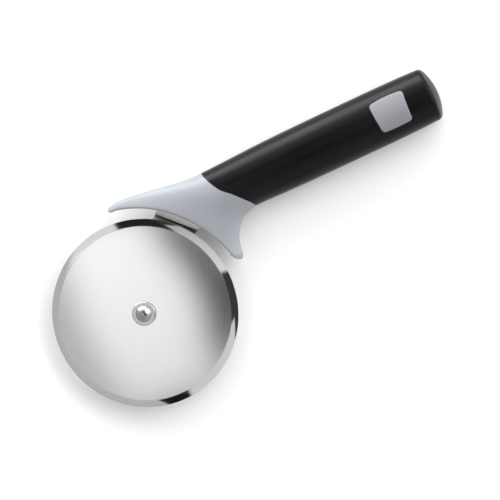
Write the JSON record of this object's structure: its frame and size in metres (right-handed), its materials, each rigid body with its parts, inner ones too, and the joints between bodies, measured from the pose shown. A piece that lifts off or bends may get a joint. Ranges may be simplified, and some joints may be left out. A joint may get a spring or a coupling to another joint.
{
  "type": "pastry cutter wheel",
  "caption": "Hand-held pastry cutter: a polished disc that turns on a rivet at the end of a steel arm, with a two-horned finger guard and a rounded black handle.",
  "frame": {"origin": "centre of the footprint, on the surface that the cutter lies on", "axes": "+X along the handle towards its end, +Z along the rivet with the domed head up, +Y towards the long side of the guard"},
  "size_m": [0.2162, 0.0984, 0.0216],
  "materials": {
    "blade_steel": "satin-polished face, brighter ground bevel",
    "rivet_steel": "polished",
    "washer_steel": "bright",
    "pin_steel": "plain",
    "arm_steel": "satin",
    "bush_plastic": "natural acetal",
    "guard_plastic": "satin light blue-grey",
    "core_plastic": "plain",
    "grip_plastic": "black, fine grain",
    "cap_plastic": "black, fine grain",
    "badge_plastic": "satin light blue-grey"
  },
  "bodies": {
    "handle": {"guard": "guard_plastic", "handle_core": "core_plastic", "tang_pins": "pin_steel", "grip": "grip_plastic", "end_cap": "cap_plastic", "badge": "badge_plastic", "arm": "arm_steel", "axle_rivet": "rivet_steel", "front_washer": "washer_steel", "slip_washer": "bush_plastic", "thrust_washer": "bush_plastic", "spacer": "washer_steel", "rear_washer": "washer_steel"},
    "wheel": {"blade": "blade_steel", "hub_bush": "bush_plastic"}
  },
  "joints": [
    {"name": "wheel_spin", "type": "hinge", "parent": "handle", "child": "wheel", "pos_m": [-0.06314, -0.00421, 0.01079], "axis": [0, 0, 1], "continuous": true}
  ]
}
